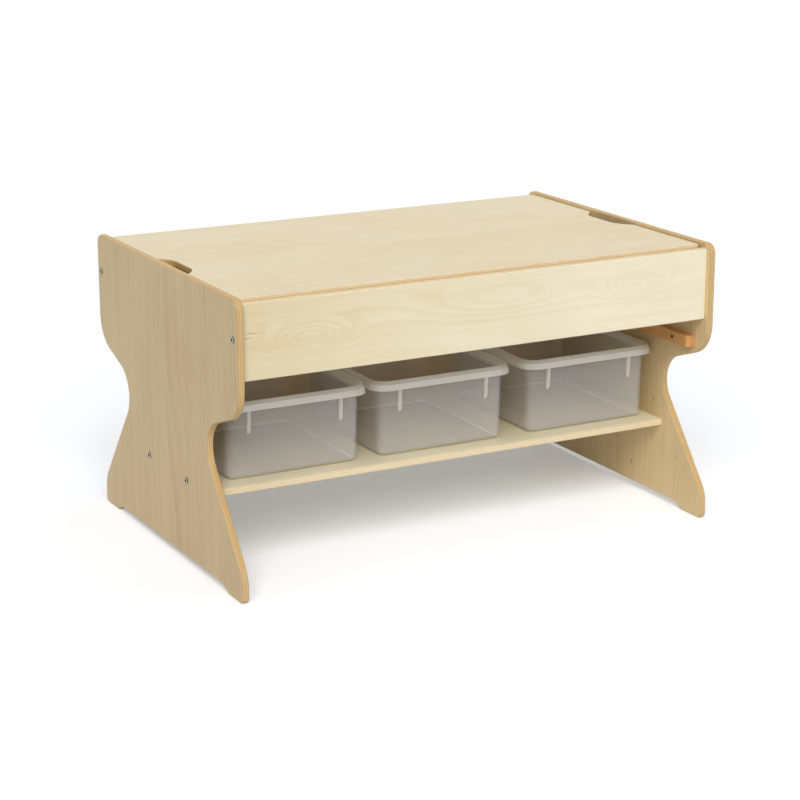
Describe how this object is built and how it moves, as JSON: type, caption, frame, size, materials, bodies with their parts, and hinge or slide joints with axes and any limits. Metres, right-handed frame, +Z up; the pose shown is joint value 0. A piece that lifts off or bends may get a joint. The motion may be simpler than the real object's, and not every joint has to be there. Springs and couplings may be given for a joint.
{
  "type": "kids play table with storage",
  "caption": "Low plywood play table: waisted end panels, lift-off lid over a well, and a backed shelf with sliding storage tubs.",
  "frame": {"origin": "middle of the footprint, on the floor", "axes": "+X to the right end panel, +Y to the rear, +Z up; a child sits at the front, -Y"},
  "size_m": [1.1348, 0.75, 0.622],
  "materials": {
    "birch_plywood": "satin lacquer, birch face, plies visible on the edges",
    "solid_wood": "satin, warm brown",
    "frosted_plastic": "frosted translucent",
    "bright_steel": "zinc plated",
    "dark_steel": "blackened"
  },
  "bodies": {
    "table": {"left_side_panel": "birch_plywood", "right_side_panel": "birch_plywood", "front_apron": "birch_plywood", "rear_apron": "birch_plywood", "well_floor": "birch_plywood", "front_floor_cleat": "solid_wood", "rear_floor_cleat": "solid_wood", "left_floor_cleat": "solid_wood", "right_floor_cleat": "solid_wood", "front_lid_cleat": "solid_wood", "rear_lid_cleat": "solid_wood", "shelf": "birch_plywood", "back_panel": "birch_plywood", "left_rail": "solid_wood", "right_rail": "solid_wood", "apron_bolts": "bright_steel", "apron_barrel_nuts": "bright_steel", "shelf_bolts": "bright_steel", "shelf_barrel_nuts": "bright_steel", "apron_dowels": "solid_wood", "shelf_dowels": "solid_wood", "back_dowels": "solid_wood", "rail_screws": "dark_steel", "lid_cleat_screws": "bright_steel", "floor_cleat_screws": "bright_steel", "well_floor_screws": "bright_steel", "back_screws": "bright_steel"},
    "lid": {"lid": "birch_plywood"},
    "left_tub": {"left_tub": "frosted_plastic"},
    "middle_tub": {"middle_tub": "frosted_plastic"},
    "right_tub": {"right_tub": "frosted_plastic"}
  },
  "joints": [
    {"name": "lid_lift", "type": "slide", "parent": "table", "child": "lid", "axis": [0, 0, 1], "range_m": [0, 0.15]},
    {"name": "left_tub_slide", "type": "slide", "parent": "table", "child": "left_tub", "axis": [0, -1, 0], "range_m": [0, 0.58]},
    {"name": "middle_tub_slide", "type": "slide", "parent": "table", "child": "middle_tub", "axis": [0, -1, 0], "range_m": [0, 0.58]},
    {"name": "right_tub_slide", "type": "slide", "parent": "table", "child": "right_tub", "axis": [0, -1, 0], "range_m": [0, 0.58]}
  ]
}
